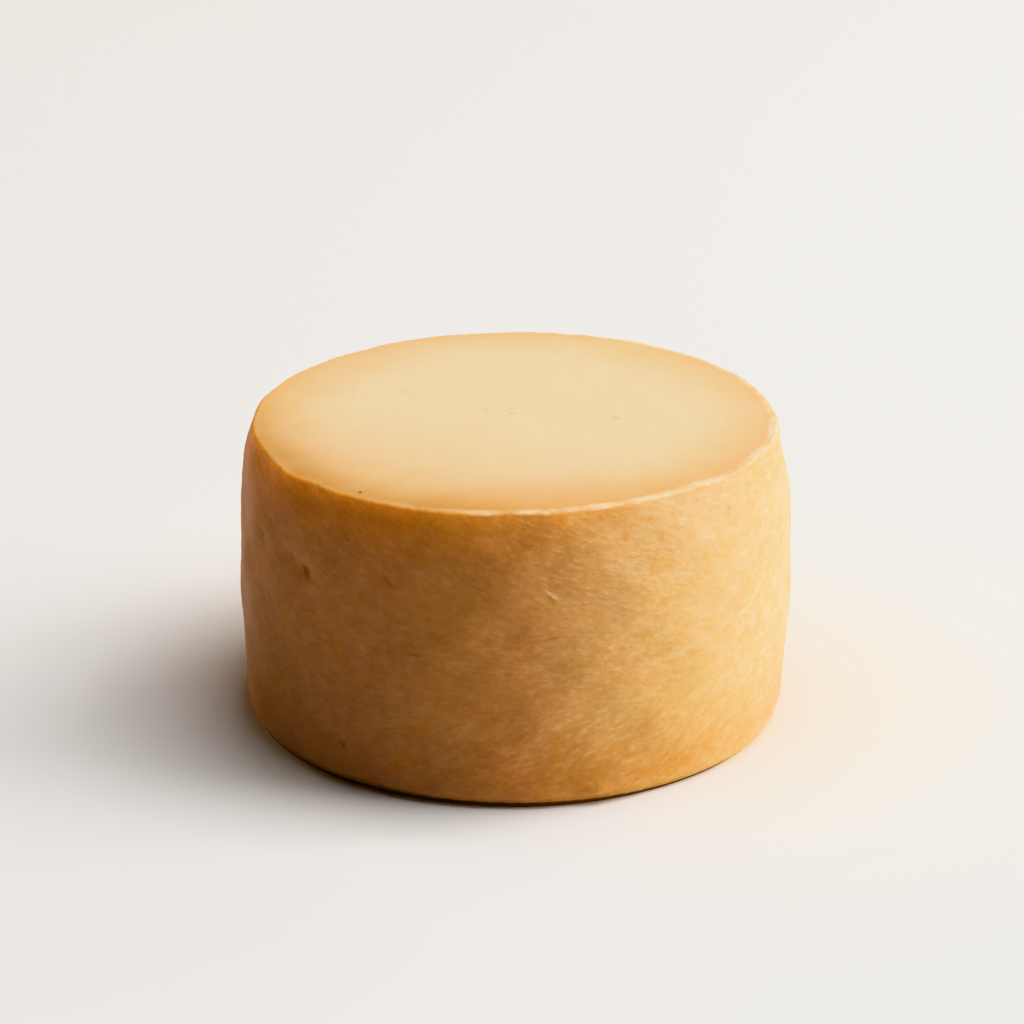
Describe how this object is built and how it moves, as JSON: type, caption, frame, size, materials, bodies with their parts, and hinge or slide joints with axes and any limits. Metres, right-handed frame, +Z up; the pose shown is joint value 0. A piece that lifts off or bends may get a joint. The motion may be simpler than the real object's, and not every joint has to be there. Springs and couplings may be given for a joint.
{
  "type": "cheese wheel",
  "caption": "Whole uncut wheel of pressed hard cheese with barrel sides, a flat pale top with a crisp rim, a rounded bottom edge and a brushed golden-brown rind.",
  "frame": {"origin": "the middle of the flat underside, at the height of the surface that the wheel stands on", "axes": "+Z points up through the middle of the wheel and is its shortest extent, -Y faces the viewer of the picture, +X is to the viewer's right"},
  "size_m": [0.2012, 0.1994, 0.11],
  "materials": {
    "rind": "smooth waxy natural rind, pale cream in the middle of the top, golden to orange-brown at the rim and on the side, with fine slanting brush marks"
  },
  "bodies": {
    "root": {"cheese_wheel": "rind"}
  },
  "joints": []
}
